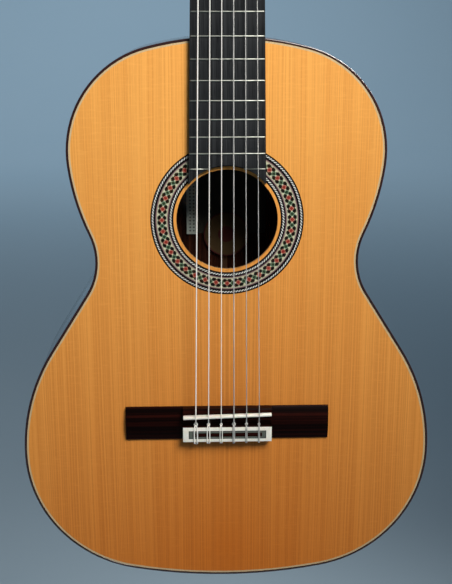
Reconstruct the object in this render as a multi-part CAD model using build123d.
from build123d import *
from math import atan2, cos, degrees, hypot, pi, radians, sin, sqrt, tan
import os

# Classical guitar, built as a bench of separate pieces.
# Frame: +X towards the first string, +Y from the top to the back, +Z along the neck to the head.
# The origin is on the centre line, at the nut's front edge, in the plane of the top.
# Heights over the top are positive numbers here and become negative Y values.

# Strings and frets
scale_length = 650.0
string_count = 6
fret_count = 19
body_fret = 12
string_diameters = (0.71, 0.81, 1.02, 0.74, 0.89, 1.09)  # strings 1 to 6, thin treble to thick bass
nut_string_gap = 8.1
saddle_string_gap = 11.2
treble_action = 2.8  # under string 1 at the twelfth fret
bass_action = 3.5  # under string 6 at the twelfth fret
first_fret_relief = 0.3
string_contact_gap = 0.04
tie_mouth_lead = 0.3  # a string runs on this far out of its tie hole before it turns up

# Body outline, from the heel round the treble side: arc radii and the angle that each arc turns
shoulder_radius, shoulder_turn = 270.0, 14.4
upper_bout_radius, upper_bout_turn = 90.0, 82.3
upper_flank_radius, upper_flank_turn = 200.0, 17.6
waist_radius, waist_turn = 55.0, 56.5
flank_length = 61.5
hip_radius, hip_turn = 175.0, 33.3
lower_bout_radius, lower_bout_turn = 117.0, 78.3

# Body depth and walls
back_dome_radius = 4500.0
body_depth = 100.0
dome_apex_drop = 315.0  # from the body's top edge down to the deepest point of the back
soundboard_thickness = 2.6
back_thickness = 2.5
rib_thickness = 2.2
binding_height = 5.0
purfling_width = 1.5
centre_strip_width = 6.0
end_graft_width = 18.0

# Inner structure
lining_width = 6.0
lining_depth = 14.0
heel_block_width, heel_block_length = 70.0, 30.0
heel_foot_length, heel_foot_depth = 62.0, 14.0
tail_block_width, tail_block_length = 80.0, 16.0
bar_width, bar_depth = 7.0, 16.0
harmonic_bar_gap = 18.8  # from the sound hole's edge to a bar's middle
fan_brace_width, fan_brace_depth = 6.0, 6.0
fan_brace_side_count = 3
fan_top_gap, fan_bottom_gap = 17.0, 34.0
fan_tail_margin = 52.0
brace_end_gap = 0.3
patch_thickness = 1.8
hole_patch_width = 24.0
bridge_patch_overhang = 6.0
upper_back_brace_drop = 75.0  # below the body's top edge
middle_back_brace_drop = 235.0
lower_back_brace_drop = 365.0
label_width, label_height, label_thickness = 74.0, 84.0, 0.3
label_side_shift = 2.0
label_lower_drop = 183.0  # from the body's top edge to the label's lower edge

# Sound hole and rosette
hole_edge_gap = 1.0  # from the last fret to the sound hole's edge
hole_radius = 43.2
rosette_depth = 1.3
rosette_gap = 2.5  # plain wood between the hole's edge and the rosette
rosette_ring_widths = (1.4, 1.9, 1.2, 1.3, 8.5, 1.3, 1.0, 1.7, 1.3)

# Fingerboard, frets and nut
nut_width = 51.5
nut_length = 5.0
nut_rise = 7.7  # over the neck's face
nut_edge = 0.8
board_taper = 0.0153  # half width gained for each millimetre away from the nut
board_thickness = 5.5
board_end_setback = 3.1  # on the centre line the wood ends this far before the last fret
board_end_radius = 40.6
fret_width, fret_rise = 2.2, 1.0
fret_end_inset = 0.4
fret_tang_width, fret_tang_depth = 0.55, 1.8
fret_slot_clearance = 0.05
groove_clearance = 0.06
groove_lead = 0.5  # each groove starts this far beyond the string's bend

# Neck and heel
neck_depth_first, neck_depth_last = 16.5, 18.5  # wood at the first fret and at the heel's start
heel_clearance = 75.0  # from the body's top edge to the end of the neck's taper
volute_length = 22.0
heel_sweep = 72.0  # along the neck, where the heel's curve starts
heel_top_half_width = 30.0
heel_cap_width, heel_cap_length, heel_cap_thickness = 25.0, 23.0, 2.6
heel_start = 3.0  # from the plane of the top to the heel's first section
heel_side_power, heel_sweep_power = 1.5, 2.4  # how quickly the heel narrows and shortens
heel_steps = 5
neck_section_frets = (3, 7)  # frets where the neck's wood has a section of its own
section_fullness = 0.62  # share of the way to its corner that a neck section's curve is pulled
neck_lap = 6.0  # the neck's blank runs this far into the body before it is cut

# Head
head_angle = 15.0
head_wood, veneer_thickness = 18.2, 1.8
head_width = 72.0
head_flare = 26.0
head_side_end = 158.0
crest_notch = 10.0
crest_rise = 18.0
head_lap = 12.0  # the head's blank starts this far below the nut before it is cut
slot_width, slot_length = 16.0, 110.0
slot_centre_x = 15.0
slot_start = 24.0
slot_ramp_length, slot_ramp_depth = 14.0, 6.0

# Tuning machines
first_roller_y, roller_spacing = 48.0, 35.0
rollers_per_side = 3
roller_depth = 9.0  # axis below the head's face
roller_radius, roller_bore_clearance = 4.95, 0.06
roller_inner_end, roller_end_gap = 2.4, 0.3
barrel_plate_gap = 0.2
roller_wind_x = (18.0, 15.0, 11.0)  # where each string winds, from the nearest roller outwards
shaft_radius = 2.4
shaft_end_rise = 0.6  # beyond the gear's outer face
string_hole_radius = 0.8
string_hole_offset = 3.0  # from where a string winds to its hole, towards the middle of the head
plate_thickness, plate_length, plate_height = 1.2, 110.0, 16.6
plate_top_margin, plate_corner = 1.0, 2.5
worm_lead = 2.7
worm_pitch_radius, worm_outer_radius, worm_core_radius = 3.2, 3.95, 2.3
worm_thread_width = 1.1  # at the pitch radius
worm_turns = 3.5
thread_bite = 0.15  # how deep the thread's root is sunk into the core
pressure_angle = 20.0
gear_teeth = 14
gear_tooth_width = 1.0  # at the pitch radius
gear_width = 2.5
tooth_bite = 0.3  # how deep each tooth's root is sunk into the gear's rim
gear_hub_wall = 1.1
gear_root_clearance = 0.17
gear_tip_clearance = 0.12
gear_plate_gap = 0.4
journal_radius, journal_clearance, journal_end_rise = 1.9, 0.06, 0.5
lug_thickness, lug_half_width, lug_gap = 1.3, 4.0, 0.3
lug_start = 0.4  # out from the head's side, within the plate
collar_radius, collar_length = 2.9, 1.6
button_gap = 4.6  # from the head's back to the button
button_length, button_width, button_thickness = 22.0, 17.0, 8.0
button_edge = 1.3
button_socket_depth = 10.0
plate_screw_radius, plate_screw_length = 1.1, 9.0
plate_screw_head_radius, plate_screw_head_height = 2.2, 0.9
first_screw_gap = 3.8  # from the first lug's edge
middle_screw_shift = 3.2  # from midway between two rollers, towards the nut
last_screw_gap = 9.0  # beyond the last gear's pitch circle

# Bridge
saddle_setback = 1.2
saddle_slant = 1.4
saddle_thickness, saddle_length = 2.8, 78.0
saddle_slot_floor = 4.0  # over the top
saddle_crown = 1.2
saddle_end_gap = 0.2
string_break = 1.0  # from the saddle's middle line back to where a string turns down
bridge_front = 6.2  # from the saddle's middle line
bridge_length = 180.0
bridge_depth = 30.5
bridge_centre_length = 78.6
bridge_block_rise = 8.5
bridge_block_depth = 10.5
bridge_edge = 1.0
trough_rise = 3.5
trough_end = 17.0  # from the bridge's front edge
tie_block_rise = 9.5
wing_edge_rise, wing_rise = 1.6, 4.2
tie_hole_rise, tie_hole_radius = 5.5, 0.8
frame_side, frame_front, frame_rear, frame_thickness = 5.0, 3.3, 2.8, 0.6

# Cutting shapes
over_cut = 5.0  # how far a cutting shape runs past what it cuts
WIDE = 400.0  # longer than any piece that is cut in two

# Places that follow from the sizes above
half_nut = nut_width / 2
rim = rib_thickness + purfling_width
body_top = -scale_length * (1 - 2 ** (-body_fret / 12))
last_fret = -scale_length * (1 - 2 ** (-fret_count / 12))
hole_centre = last_fret - hole_edge_gap - hole_radius
board_end_centre = last_fret + board_end_setback - board_end_radius
saddle_line = -(scale_length + saddle_setback)
bridge_nose = saddle_line + bridge_front
bridge_tail = bridge_nose - bridge_depth
fret_top = board_thickness + fret_rise
nut_string_height = fret_top + first_fret_relief
head_half = head_width / 2
gear_pitch_radius = gear_teeth * worm_lead / (2 * pi)
worm_offset = gear_pitch_radius + worm_pitch_radius
roller_bore_radius = roller_radius + roller_bore_clearance
gear_x = head_half + plate_thickness + gear_plate_gap + worm_outer_radius
HEAD = Plane(
    origin=(0, -veneer_thickness, nut_length),
    x_dir=(1, 0, 0),
    z_dir=(0, -cos(radians(head_angle)), sin(radians(head_angle))),
)


def save(node, *shapes):
    """Write one node's solids to its own STEP file."""
    solids = [solid for shape in shapes for solid in shape.solids()]
    export_step(Compound(solids) if len(solids) > 1 else solids[0], f"parts/{node}.step")


def slab(sketch, front, back):
    """Solid with this outline in X and Z, between the planes y = front and y = back."""
    return extrude(Plane.XZ.offset(-back) * sketch, back - front)


def box_between(low, high):
    """Box from its lowest to its highest corner."""
    size = [high[i] - low[i] for i in range(3)]
    return Pos(*low) * Box(*size, align=(Align.MIN, Align.MIN, Align.MIN))


def rectangle_between(x_low, z_low, x_high, z_high):
    """Flat rectangle in the outline's own two axes."""
    middle = Pos((x_low + x_high) / 2, (z_low + z_high) / 2)
    return middle * Rectangle(x_high - x_low, z_high - z_low)


def bar_along_x(points, x_low, x_high):
    """Bar with a (height, z) profile, running from x_low to x_high."""
    profile = make_face(Polyline([(-height, z) for height, z in points], close=True))
    return extrude(Plane.YZ.offset(x_low) * profile, x_high - x_low)


def fret_z(number):
    """Height along the neck of a fret."""
    return -scale_length * (1 - 2 ** (-number / 12))


def board_half_width(z):
    """Half width of the fingerboard at a place along the neck."""
    return half_nut + board_taper * -z


# Body ---------------------------------------------------------------------------------------


def treble_outline(inset):
    """Edges of the outline from the heel round the treble side to the tail, moved in by inset."""
    arcs = (
        (shoulder_radius - inset, -shoulder_turn),
        (upper_bout_radius - inset, -upper_bout_turn),
        (upper_flank_radius - inset, -upper_flank_turn),
        (waist_radius + inset, waist_turn),
        (0, 0),
        (hip_radius - inset, -hip_turn),
        (lower_bout_radius - inset, -lower_bout_turn),
    )
    point = Vector(0, body_top - inset)
    heading = Vector(1, 0)
    edges = []
    for radius, turn in arcs:
        if turn:
            edge = JernArc(start=point, tangent=heading, radius=radius, arc_size=turn)
        else:
            edge = Line(point, point + heading * flank_length)
        edges.append(edge)
        point = edge @ 1
        heading = edge % 1
    remaining = degrees(atan2(-heading.Y, -heading.X))
    tail_radius = point.X / sin(radians(remaining))
    edges.append(JernArc(start=point, tangent=heading, radius=tail_radius, arc_size=-remaining))
    return edges


def body_face(inset):
    """Flat outline of the body, moved in by inset all round."""
    treble = Curve() + treble_outline(inset)
    return make_face(treble + mirror(treble, about=Plane.YZ))


def rim_ring(outer_inset, inner_inset):
    """Flat ring between two insets of the body's outline."""
    return body_face(outer_inset) - body_face(inner_inset)


def inside_dome(depth):
    """Ball whose surface lies this far inside the back's outer surface."""
    centre = (0, body_depth - back_dome_radius, body_top - dome_apex_drop)
    return Pos(*centre) * Sphere(back_dome_radius - depth)


def dome_shell(sketch, outer_depth, inner_depth):
    """Layer that follows the back, between two depths under its outer surface."""
    prism = slab(sketch, body_depth / 2, body_depth + over_cut)
    return (prism & inside_dome(outer_depth)) - inside_dome(inner_depth)


tail_end = (treble_outline(0)[-1] @ 1).Y


def tail_strip(width):
    """Block round the centre line at the tail only."""
    low, high = tail_end - over_cut, tail_end + tail_block_length
    return box_between((-width / 2, -WIDE, low), (width / 2, WIDE, high))


def side_half(side):
    """Half space on the bass side (-1) or the treble side (1), as a large box."""
    low = 0 if side > 0 else -WIDE
    bottom, top = tail_end - over_cut, body_top + over_cut
    return box_between((low, -WIDE, bottom), (low + WIDE, WIDE, top))


def build_rim():
    """Ribs, end graft, bindings and purfling."""
    wall = slab(rim_ring(0, rib_thickness), binding_height, body_depth + over_cut)
    wall = wall & inside_dome(binding_height)
    sides = wall - tail_strip(end_graft_width)
    save("rib_bass", sides & side_half(-1))
    save("rib_treble", sides & side_half(1))
    save("end_graft", wall & tail_strip(end_graft_width))
    save("top_binding", slab(rim_ring(0, rib_thickness), 0, binding_height))
    save("back_binding", dome_shell(rim_ring(0, rib_thickness), 0, binding_height))
    save("top_purfling", slab(rim_ring(rib_thickness, rim), 0, soundboard_thickness))


def build_back():
    """Two halves of the back and the strip between them."""
    plate = dome_shell(body_face(rib_thickness), 0, back_thickness)
    half = centre_strip_width / 2
    strip = box_between((-half, 0, tail_end - over_cut), (half, WIDE, body_top + over_cut))
    sides = plate - strip
    save("back_halves", sides & side_half(-1), sides & side_half(1))
    save("back_centre_strip", plate & strip)


def hole_ring(inner, outer):
    """Flat ring about the sound hole's centre."""
    return Pos(0, hole_centre) * (Circle(outer) - Circle(inner))


def build_top():
    """Soundboard with its sound hole, and the inlaid rosette."""
    board = slab(body_face(rim), 0, soundboard_thickness)
    hole = Pos(0, hole_centre) * Circle(hole_radius)
    board -= slab(hole, -over_cut, soundboard_thickness + over_cut)
    radii = [hole_radius + rosette_gap]
    for width in rosette_ring_widths:
        radii.append(radii[-1] + width)
    channel = slab(hole_ring(radii[0], radii[-1]), -over_cut, rosette_depth)
    save("soundboard", board - channel)
    pairs = zip(radii, radii[1:])
    save("rosette", *[slab(hole_ring(inner, outer), 0, rosette_depth) for inner, outer in pairs])


def blocks():
    """Heel block with its foot, and the tail block."""
    inner = body_face(rib_thickness)
    half = heel_block_width / 2
    block_face = inner & rectangle_between(-half, body_top - heel_block_length, half, body_top)
    deep = body_depth + over_cut
    block = slab(block_face, soundboard_thickness, deep) & inside_dome(back_thickness)
    foot_face = inner & rectangle_between(-half, body_top - heel_foot_length, half, body_top)
    foot = dome_shell(foot_face, back_thickness, back_thickness + heel_foot_depth)
    tail_half = tail_block_width / 2
    tail_top = tail_end + tail_block_length
    tail_face = inner & rectangle_between(-tail_half, tail_end, tail_half, tail_top)
    tail = slab(tail_face, soundboard_thickness, deep) & inside_dome(back_thickness)
    return block + foot, tail


def cross_face(z, margin):
    """Flat bar across the body at one place, clear of the linings by margin."""
    bar = rectangle_between(-WIDE, z - bar_width / 2, WIDE, z + bar_width / 2)
    return bar & body_face(rib_thickness + lining_width + margin)


def build_inside():
    """Blocks, linings, braces, patches and the paper label."""
    heel_block, tail_block = blocks()
    save("heel_block", heel_block)
    save("tail_block", tail_block)
    lining_ring = rim_ring(rib_thickness, rib_thickness + lining_width)
    top_lining = slab(lining_ring, soundboard_thickness, soundboard_thickness + lining_depth)
    back_lining = dome_shell(lining_ring, back_thickness, back_thickness + lining_depth)
    cleared = [lining - heel_block - tail_block for lining in (top_lining, back_lining)]
    save("linings", *cleared)

    inner_face = soundboard_thickness
    bar_offset = hole_radius + harmonic_bar_gap
    bars = [
        slab(cross_face(hole_centre + offset, brace_end_gap), inner_face, inner_face + bar_depth)
        for offset in (bar_offset, -bar_offset)
    ]

    patch_back = inner_face + patch_thickness
    hole_patch = slab(hole_ring(hole_radius, hole_radius + hole_patch_width), inner_face, patch_back)
    hole_patch = hole_patch - bars[0] - bars[1]
    between_bars = bar_offset - bar_width / 2
    hole_patch = hole_patch & box_between(
        (-WIDE, 0, hole_centre - between_bars), (WIDE, WIDE, hole_centre + between_bars)
    )
    patch_half = bridge_length / 2 + bridge_patch_overhang
    patch_low = bridge_tail - bridge_patch_overhang
    patch_high = bridge_nose + bridge_patch_overhang
    bridge_patch = slab(
        rectangle_between(-patch_half, patch_low, patch_half, patch_high), inner_face, patch_back
    )
    save("top_patches", hole_patch, bridge_patch)

    fan_top = hole_centre - bar_offset - bar_width / 2 - brace_end_gap
    fan_bottom = tail_end + fan_tail_margin
    limit = slab(body_face(rim + 2 * lining_width), 0, body_depth)
    braces = []
    for place in range(-fan_brace_side_count, fan_brace_side_count + 1):
        high = Vector(place * fan_top_gap, fan_top)
        low = Vector(place * fan_bottom_gap, fan_bottom)
        half = fan_brace_width / 2
        outline = Polyline(
            (high.X - half, high.Y), (high.X + half, high.Y),
            (low.X + half, low.Y), (low.X - half, low.Y), close=True,
        )
        brace = slab(make_face(outline), inner_face, inner_face + fan_brace_depth)
        braces.append((brace & limit) - bridge_patch)
    save("top_braces", *bars, *braces)

    drops = (upper_back_brace_drop, middle_back_brace_drop, lower_back_brace_drop)
    back_braces = [
        dome_shell(cross_face(body_top - drop, brace_end_gap), back_thickness, back_thickness + bar_depth)
        for drop in drops
    ]
    save("back_braces", *back_braces)

    label_low = body_top - label_lower_drop
    label_half = label_width / 2
    label_face = rectangle_between(
        label_side_shift - label_half, label_low,
        label_side_shift + label_half, label_low + label_height,
    )
    save("label", dome_shell(label_face, back_thickness, back_thickness + label_thickness))


# Neck ---------------------------------------------------------------------------------------


def rounded_section(half_width, depth):
    """Flat-topped round section: full width at the face, curving in to its depth."""
    top = Line((-half_width, 0), (half_width, 0))
    pull_x, pull_y = half_width * section_fullness, depth * section_fullness
    treble = Bezier((half_width, 0), (half_width, pull_y), (pull_x, depth), (0, depth))
    bass = Bezier((0, depth), (-pull_x, depth), (-half_width, pull_y), (-half_width, 0))
    return make_face([top, treble, bass])


def neck_depth(z):
    """Depth of the neck's wood behind its face."""
    taper_end = body_top + heel_clearance
    share = min(max(z / taper_end, 0), 1)
    return neck_depth_first + (neck_depth_last - neck_depth_first) * share


def build_neck():
    """Neck shaft with its heel, and the heel's cap."""
    joint_end = body_top - neck_lap
    head_back = HEAD.offset(-veneer_thickness - head_wood)
    head_back_y = head_back.origin.Y + (nut_length - head_back.origin.Z) * tan(radians(head_angle))
    depths = [(nut_length, head_back_y)]
    shaft_frets = [fret_z(number) for number in neck_section_frets]
    stations = (-volute_length, *shaft_frets, body_top + heel_clearance, joint_end)
    depths += [(z, neck_depth(z)) for z in stations]
    sections = [Pos(0, 0, z) * rounded_section(board_half_width(min(z, 0)), d) for z, d in depths]
    shaft = loft(sections)

    cap_back = body_depth - dome_apex_drop ** 2 / (2 * back_dome_radius)
    cap_front = cap_back - heel_cap_thickness
    heel_sections = []
    half_cap = heel_cap_width / 2
    for step in range(heel_steps + 1):
        share = step / heel_steps
        y = heel_start + (cap_front - heel_start) * share
        half = half_cap + (heel_top_half_width - half_cap) * (1 - share) ** heel_side_power
        reach = heel_cap_length + (heel_sweep - heel_cap_length) * (1 - share) ** heel_sweep_power
        section = rounded_section(half, neck_lap + reach)
        heel_sections.append(Plane(origin=(0, y, joint_end), x_dir=(1, 0, 0), z_dir=(0, -1, 0)) * section)
    heel = loft(heel_sections)

    body_prism = slab(body_face(0), -over_cut, body_depth + over_cut)
    save("neck", (shaft + heel) - body_prism)
    last = Plane(origin=(0, cap_back, joint_end), x_dir=(1, 0, 0), z_dir=(0, -1, 0))
    cap_section = rounded_section(half_cap, neck_lap + heel_cap_length)
    save("heel_cap", extrude(last * cap_section, heel_cap_thickness) - body_prism)


def board_outline():
    """Tapered fingerboard with a hollow arc round the sound hole's side."""
    apex = board_end_centre + board_end_radius
    square = 1 + board_taper ** 2
    linear = half_nut * board_taper + board_end_centre
    constant = half_nut ** 2 + board_end_centre ** 2 - board_end_radius ** 2
    low = (linear + sqrt(linear ** 2 - square * constant)) / square  # where the side meets the arc
    half = board_half_width(low)
    edges = [
        Line((-half_nut, 0), (half_nut, 0)),
        Line((half_nut, 0), (half, low)),
        ThreePointArc((half, low), (0, apex), (-half, low)),
        Line((-half, low), (-half_nut, 0)),
    ]
    return make_face(edges)


def build_fingerboard():
    """Fingerboard with its fret slots, and the frets."""
    board = slab(board_outline(), -board_thickness, 0)
    end_cut = slab(
        Pos(0, board_end_centre) * Circle(board_end_radius + fret_end_inset), -WIDE, WIDE
    )
    slot_half = fret_tang_width / 2 + fret_slot_clearance
    slot_floor = board_thickness - fret_tang_depth - fret_slot_clearance
    frets = []
    for number in range(1, fret_count + 1):
        z = fret_z(number)
        half = board_half_width(z)
        board -= box_between(
            (-half - over_cut, -board_thickness - over_cut, z - slot_half),
            (half + over_cut, -slot_floor, z + slot_half),
        )
        crown = make_face([
            ThreePointArc(
                (-board_thickness, z + fret_width / 2), (-fret_top, z),
                (-board_thickness, z - fret_width / 2),
            ),
            Line((-board_thickness, z - fret_width / 2), (-board_thickness, z + fret_width / 2)),
        ])
        tang_centre = (-board_thickness + fret_tang_depth / 2, z)
        profile = crown + Pos(*tang_centre) * Rectangle(fret_tang_depth, fret_tang_width)
        length = 2 * (half - fret_end_inset)
        wire = extrude(Plane.YZ.offset(-length / 2) * profile, length)
        frets.append(wire - end_cut)
    save("fingerboard", board)
    save("frets", *frets)


# Strings ------------------------------------------------------------------------------------


def string_x(number, gap):
    """Sideways place of a string, counted from string 1 on the treble side."""
    return ((string_count + 1) / 2 - number) * gap


def saddle_z(x):
    """Middle line of the saddle, which slants back towards the bass side."""
    return saddle_line + x * tan(radians(saddle_slant))


def string_rest_height(number):
    """Height of a string's underside at the saddle."""
    share = (number - 1) / (string_count - 1)
    action = treble_action + (bass_action - treble_action) * share
    rise = (fret_top + action - nut_string_height) / -body_top
    return nut_string_height + rise * -saddle_z(string_x(number, saddle_string_gap))


def roller_place(number):
    """Side, place along the head and winding place of a string's roller."""
    on_treble = number <= rollers_per_side
    order = number - 1 if on_treble else string_count - number
    side = 1 if on_treble else -1
    return side, first_roller_y + order * roller_spacing, side * roller_wind_x[order]


def string_points(number):
    """Turning points of one string, from its tie hole to its roller."""
    radius = string_diameters[number - 1] / 2
    saddle_x = string_x(number, saddle_string_gap)
    nut_x = string_x(number, nut_string_gap)
    tie_front = bridge_nose - trough_end
    rest = Vector(
        saddle_x,
        -(string_rest_height(number) + radius + string_contact_gap),
        saddle_z(saddle_x) - string_break,
    )
    nut_front = Vector(nut_x, -(nut_string_height + radius), 0)
    slope = (nut_front - rest) * (1 / (nut_front.Z - rest.Z))
    bend = nut_front + slope * (nut_length / 2)
    _, roller_y, wind_x = roller_place(number)
    local = HEAD.to_local_coords(bend)
    along = roller_y - local.Y
    drop = local.Z + roller_depth
    reach = hypot(along, drop)
    wrap = roller_radius + radius + 2 * string_contact_gap
    angle = atan2(-drop, along) + atan2(wrap, sqrt(reach ** 2 - wrap ** 2))
    run = sqrt(reach ** 2 - wrap ** 2)
    touch = HEAD.from_local_coords(
        Vector(wind_x, local.Y + run * cos(angle), local.Z + run * sin(angle))
    )
    hole_y = -tie_hole_rise
    return [
        Vector(saddle_x, hole_y, bridge_tail),
        Vector(saddle_x, hole_y, tie_front + tie_mouth_lead),
        rest,
        bend,
        touch,
    ]


def bar_through(points, radius):
    """Round bar with mitred turns."""
    path = Polyline(*points)
    start = Plane(origin=points[0], z_dir=points[1] - points[0])
    return sweep(start * Circle(radius), path=path, transition=Transition.RIGHT)


def build_strings():
    """Six strings, and the nut with their grooves."""
    nut = box_between((-half_nut, -nut_rise, 0), (half_nut, 0, nut_length))
    crown = [edge for edge in nut.edges().filter_by(Axis.X) if edge.center().Y < -nut_rise / 2]
    nut = fillet(crown, nut_edge)
    for number in range(1, string_count + 1):
        radius = string_diameters[number - 1] / 2
        points = string_points(number)
        save(f"string_{number}", bar_through(points, radius))
        wide = radius + groove_clearance
        for start, end in ((points[3], points[2]), (points[3], points[4])):
            run = (end - start).normalized()
            place = Plane(origin=start - run * groove_lead, x_dir=(1, 0, 0), z_dir=run)
            if place.y_dir.Y > 0:
                lift = (Align.CENTER, Align.MAX, Align.MIN)
            else:
                lift = (Align.CENTER, Align.MIN, Align.MIN)
            round_floor = Cylinder(wide, nut_length * 2, align=(Align.CENTER, Align.CENTER, Align.MIN))
            nut -= place * (round_floor + Box(2 * wide, nut_rise, nut_length * 2, align=lift))
    save("nut", nut)


# Head and tuning machines ------------------------------------------------------------------------


def head_outline():
    """Head's outline in its own plane, with an arched crest between two notches."""
    shift = head_half - half_nut
    flare_radius = (head_flare ** 2 + shift ** 2) / (4 * shift)
    flare_turn = 2 * degrees(atan2(shift, head_flare))
    start = Line((half_nut, -head_lap), (half_nut, 0))
    out = JernArc(start=start @ 1, tangent=(0, 1), radius=flare_radius, arc_size=-flare_turn)
    back = JernArc(start=out @ 1, tangent=out % 1, radius=flare_radius, arc_size=flare_turn)
    side = Line(back @ 1, (head_half, head_side_end))
    notch_mouth = (head_half - crest_notch, head_side_end + crest_notch)
    deep = crest_notch * (1 - cos(pi / 4))
    notch = ThreePointArc(
        side @ 1,
        (head_half - crest_notch + deep, head_side_end + deep),
        notch_mouth,
    )
    crest = ThreePointArc(
        notch_mouth,
        (0, head_side_end + crest_notch + crest_rise),
        (-notch_mouth[0], notch_mouth[1]),
    )
    treble = Curve() + [start, out, back, side, notch]
    base = Line((-half_nut, -head_lap), (half_nut, -head_lap))
    return make_face(treble + mirror(treble, about=Plane.YZ) + [crest, base])


def head_slots():
    """Two string slots through the head, each with a ramp at the nut's end."""
    middle = slot_start + slot_length / 2
    tools = []
    for side in (-1, 1):
        slot = Pos(side * slot_centre_x, middle) * SlotOverall(slot_length, slot_width, rotation=90)
        tools.append(extrude(HEAD.offset(-WIDE / 2) * slot, WIDE))
        ramp_end = slot_start + slot_width / 2
        ramp = make_face(Polyline(
            (slot_start - slot_ramp_length, over_cut), (slot_start - slot_ramp_length, 0),
            (ramp_end, -slot_ramp_depth), (ramp_end, over_cut), close=True,
        ))
        side_plane = Plane(origin=(0, 0, 0), x_dir=(0, 1, 0), z_dir=(1, 0, 0))
        wedge = extrude(side_plane.offset(side * slot_centre_x - slot_width / 2) * ramp, slot_width)
        tools.append(HEAD * wedge)
    return tools


def across_head(radius, x_low, x_high, y, depth=roller_depth):
    """Cylinder along X at a place along the head."""
    low = min(x_low, x_high)
    tube = Cylinder(radius, abs(x_high - x_low), align=(Align.CENTER, Align.CENTER, Align.MIN))
    return HEAD * (Pos(low, y, -depth) * Rot(0, 90, 0) * tube)


def worm_axis_tube(radius, side, y, depth_low, depth_high):
    """Cylinder along a worm's axis, between two depths below the head's face."""
    tube = Cylinder(radius, depth_high - depth_low, align=(Align.CENTER, Align.CENTER, Align.MAX))
    return HEAD * (Pos(side * gear_x, y - worm_offset, -depth_low) * tube)


def thread_half_width(radius):
    """Half the worm thread's width at a radius."""
    return worm_thread_width / 2 + (worm_pitch_radius - radius) * tan(radians(pressure_angle))


def worm_half_length():
    """Half the length of a worm's thread and core."""
    return worm_turns * worm_lead / 2 + thread_half_width(worm_core_radius)


def worm_thread():
    """Right-hand thread about +Z, centred on z = 0, with a crest facing +Y there."""
    root = worm_core_radius - thread_bite
    height = worm_turns * worm_lead
    rails = []
    for radius, side in ((root, -1), (worm_outer_radius, -1), (worm_outer_radius, 1), (root, 1)):
        helix = Edge.make_helix(worm_lead, height, radius)
        rails.append(Pos(0, 0, side * thread_half_width(radius)) * helix)
    faces = [Face.make_surface_from_curves(rails[i], rails[(i + 1) % 4]) for i in range(4)]
    for end in (0, 1):
        corners = [rail @ end for rail in rails]
        faces.append(Face(Wire.make_polygon(corners, close=True)))
    thread = Solid(Shell(faces))
    return Rot(0, 0, 180) * Pos(0, 0, -height / 2) * thread


def gear_profile():
    """Toothed outline with a gap facing -Y, centred on the gear's axis."""
    tip = worm_offset - worm_core_radius - gear_tip_clearance
    root = worm_offset - worm_outer_radius - gear_root_clearance
    slope = tan(radians(pressure_angle))
    profile = Circle(root)
    base = root - tooth_bite
    wide = gear_tooth_width / 2 + (gear_pitch_radius - base) * slope
    narrow = gear_tooth_width / 2 - (tip - gear_pitch_radius) * slope
    for tooth in range(gear_teeth):
        shape = make_face(Polyline((-wide, base), (wide, base), (narrow, tip), (-narrow, tip), close=True))
        angle = 180 + 360 * (tooth + 0.5) / gear_teeth
        profile += Rot(0, 0, angle) * shape
    return profile


def build_machine(number):
    """Roller, gear, worm shaft and button of one string."""
    side, y, wind_x = roller_place(number)
    barrel_end = head_half - barrel_plate_gap
    barrel = across_head(roller_radius, side * roller_inner_end, side * barrel_end, y)
    gear_out = gear_x + gear_width / 2
    shaft = across_head(shaft_radius, side * barrel_end, side * (gear_out + shaft_end_rise), y)
    roller = barrel + shaft
    drill = Cylinder(string_hole_radius, roller_radius * 2 + over_cut)
    roller -= HEAD * (Pos(wind_x - side * string_hole_offset, y, -roller_depth) * drill)
    save(f"roller_{number}", roller)

    tooth_plane = Plane(origin=(0, 0, 0), x_dir=(0, 1, 0), z_dir=(1, 0, 0))
    start_x = side * gear_x - gear_width / 2
    turned = Rot(0, 0, 90) * gear_profile()
    teeth = extrude(tooth_plane * turned, gear_width)
    gear = HEAD * (Pos(start_x, y, -roller_depth) * teeth)
    hub_radius = shaft_radius + gear_hub_wall
    hub_start = head_half + plate_thickness + gear_plate_gap
    gear += across_head(hub_radius, side * hub_start, side * (gear_x - gear_width / 2), y)
    gear -= across_head(shaft_radius, side * head_half, side * (gear_out + over_cut), y)
    save(f"gear_{number}", gear)

    thread_end = worm_half_length()
    lug_near = thread_end + lug_gap
    lug_far = lug_near + lug_thickness
    centre = roller_depth
    core = worm_axis_tube(worm_core_radius, side, y, centre - thread_end, centre + thread_end)
    thread = HEAD * (Pos(side * gear_x, y - worm_offset, -centre) * worm_thread())
    button_start = head_wood + veneer_thickness + button_gap
    journal_start = centre - lug_far - journal_end_rise
    journal = worm_axis_tube(journal_radius, side, y, journal_start, button_start + button_socket_depth)
    collar_start = centre + lug_far + lug_gap
    collar = worm_axis_tube(collar_radius, side, y, collar_start, collar_start + collar_length)
    save(f"worm_shaft_{number}", journal + core + collar + thread)

    knob = extrude(Ellipse(button_thickness / 2, button_width / 2), button_length)
    knob = fillet(knob.edges(), button_edge)
    knob = HEAD * (Pos(side * gear_x, y - worm_offset, -button_start - button_length) * knob)
    socket = worm_axis_tube(journal_radius, side, y, 0, button_start + button_socket_depth)
    save(f"button_{number}", knob - socket)


def plate_screw_places():
    """Places along the head of the plate's fixing screws."""
    last_roller_y = first_roller_y + (rollers_per_side - 1) * roller_spacing
    first = first_roller_y - worm_offset - lug_half_width - first_screw_gap
    last = last_roller_y + gear_pitch_radius + last_screw_gap
    between = [
        first_roller_y + (order + 0.5) * roller_spacing - middle_screw_shift
        for order in range(rollers_per_side - 1)
    ]
    return [first, *between, last]


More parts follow.
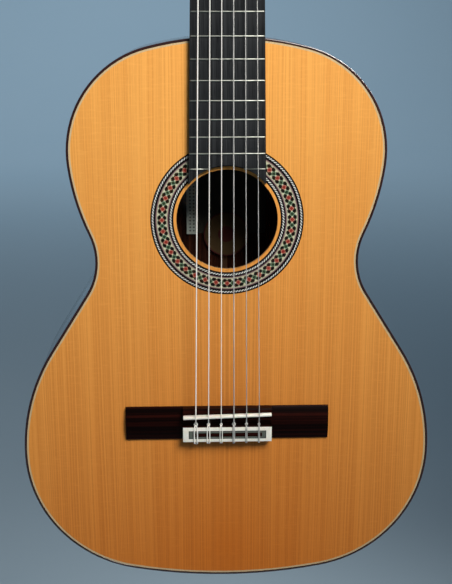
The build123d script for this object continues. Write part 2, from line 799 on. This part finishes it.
def build_plate(name, side):
    """Side plate with the lugs that carry the worms."""
    middle = first_roller_y + (rollers_per_side - 1) * roller_spacing / 2
    out_x = head_half + plate_thickness
    low_x = min(side * head_half, side * out_x)
    plate = box_between(
        (low_x, middle - plate_length / 2, -plate_top_margin - plate_height),
        (low_x + plate_thickness, middle + plate_length / 2, -plate_top_margin),
    )
    plate = fillet(plate.edges().filter_by(Axis.X), plate_corner)
    ear_from, ear_to = sorted((side * (head_half + lug_start), side * gear_x))
    for order in range(rollers_per_side):
        y = first_roller_y + order * roller_spacing - worm_offset
        for direction in (-1, 1):
            near = -roller_depth + direction * (worm_half_length() + lug_gap)
            far = near + direction * lug_thickness
            ear = box_between(
                (ear_from, y - lug_half_width, min(near, far)),
                (ear_to, y + lug_half_width, max(near, far)),
            )
            round_end = Cylinder(
                lug_half_width, lug_thickness, align=(Align.CENTER, Align.CENTER, Align.MIN)
            )
            ear += Pos(side * gear_x, y, min(near, far)) * round_end
            plate += ear
        bore = Cylinder(journal_radius + journal_clearance, WIDE)
        plate -= Pos(side * gear_x, y, 0) * bore
    plate = HEAD * plate
    for order in range(rollers_per_side):
        y = first_roller_y + order * roller_spacing
        plate -= across_head(shaft_radius + journal_clearance, 0, side * WIDE, y)
    for y in plate_screw_places():
        plate -= across_head(plate_screw_radius, 0, side * WIDE, y)
    save(name, plate)


def build_head():
    """Head wood, its veneer and the machines on its sides."""
    below_nut = box_between((-WIDE, -WIDE, -WIDE), (WIDE, WIDE, nut_length))
    wood = extrude(HEAD.offset(-veneer_thickness) * head_outline(), -head_wood)
    veneer = extrude(HEAD * head_outline(), -veneer_thickness)
    cuts = head_slots() + [below_nut]
    bore_start = roller_inner_end - roller_end_gap
    for number in range(1, string_count + 1):
        side, y, _ = roller_place(number)
        cuts.append(across_head(roller_bore_radius, side * bore_start, side * WIDE, y))
    screws = []
    for side in (-1, 1):
        out_x = head_half + plate_thickness
        for y in plate_screw_places():
            inner_x = out_x - plate_screw_length
            shank = across_head(plate_screw_radius, side * inner_x, side * out_x, y)
            cuts.append(shank)
            head_out = out_x + plate_screw_head_height
            cap = across_head(plate_screw_head_radius, side * out_x, side * head_out, y)
            screws.append(shank + cap)
    for tool in cuts:
        wood -= tool
        veneer -= tool
    save("head", wood)
    save("head_veneer", veneer)
    save("plate_screws", *screws)
    build_plate("tuner_plate_bass", -1)
    build_plate("tuner_plate_treble", 1)
    for number in range(1, string_count + 1):
        build_machine(number)


# Bridge ------------------------------------------------------------------------------------------


def build_bridge():
    """Bridge with its wings and tie block, the frame let into it, and the saddle."""
    nose, tail = bridge_nose, bridge_tail
    tie_front = nose - trough_end
    block_back = nose - bridge_block_depth
    trough_front = block_back - (bridge_block_rise - trough_rise)  # the block slopes down at 45 degrees
    half = bridge_centre_length / 2
    centre = bar_along_x(
        [
            (0, nose), (bridge_block_rise - bridge_edge, nose), (bridge_block_rise, nose - bridge_edge),
            (bridge_block_rise, block_back), (trough_rise, trough_front),
            (trough_rise, tie_front), (tie_block_rise, tie_front), (tie_block_rise, tail), (0, tail),
        ],
        -half,
        half,
    )
    wing = make_face([
        Line((0, tail), (0, nose)),
        Line((0, nose), (-wing_edge_rise, nose)),
        ThreePointArc((-wing_edge_rise, nose), (-wing_rise, (nose + tail) / 2), (-wing_edge_rise, tail)),
        Line((-wing_edge_rise, tail), (0, tail)),
    ])
    wings = extrude(Plane.YZ.offset(-bridge_length / 2) * wing, bridge_length)
    trough = box_between((-half, -WIDE, tie_front), (half, -trough_rise, trough_front))
    bridge = centre + (wings - trough)

    outer = rectangle_between(-half, tail, half, tie_front)
    inner = rectangle_between(
        -half + frame_side, tail + frame_rear, half - frame_side, tie_front - frame_front
    )
    frame = slab(outer - inner, -tie_block_rise, -tie_block_rise + frame_thickness)
    bridge -= frame
    for number in range(1, string_count + 1):
        x = string_x(number, saddle_string_gap)
        hole = Cylinder(tie_hole_radius, trough_end * 2)
        bridge -= Pos(x, -tie_hole_rise, (tie_front + tail) / 2) * hole

    bass_height = string_rest_height(string_count)
    treble_height = string_rest_height(1)
    string_half = string_x(1, saddle_string_gap)
    lean = (bass_height - treble_height) / (2 * string_half)
    middle = (bass_height + treble_height) / 2
    edge = saddle_length / 2
    turn = Pos(0, 0, saddle_line) * Rot(0, -saddle_slant, 0)
    upright = Plane(origin=(0, 0, -saddle_thickness / 2), x_dir=(1, 0, 0), z_dir=(0, 0, 1))
    flat = make_face(Polyline([
        (-edge, -saddle_slot_floor), (edge, -saddle_slot_floor),
        (edge, -(middle - lean * edge)), (-edge, -(middle + lean * edge)),
    ], close=True))
    saddle = extrude(upright * flat, saddle_thickness)
    waist = (treble_height + saddle_slot_floor) / 2
    tops = [e for e in saddle.edges() if e.center().Y < -waist and e.length > edge]
    saddle = turn * fillet(tops, saddle_crown)
    slot = box_between(
        (-edge - saddle_end_gap, -WIDE, -saddle_thickness / 2),
        (edge + saddle_end_gap, -saddle_slot_floor, saddle_thickness / 2),
    )
    bridge -= turn * slot
    save("bridge", bridge)
    save("tie_block_frame", frame)
    save("saddle", saddle)


os.makedirs("parts", exist_ok=True)
build_rim()
build_back()
build_top()
build_inside()
build_neck()
build_fingerboard()
build_strings()
build_head()
build_bridge()
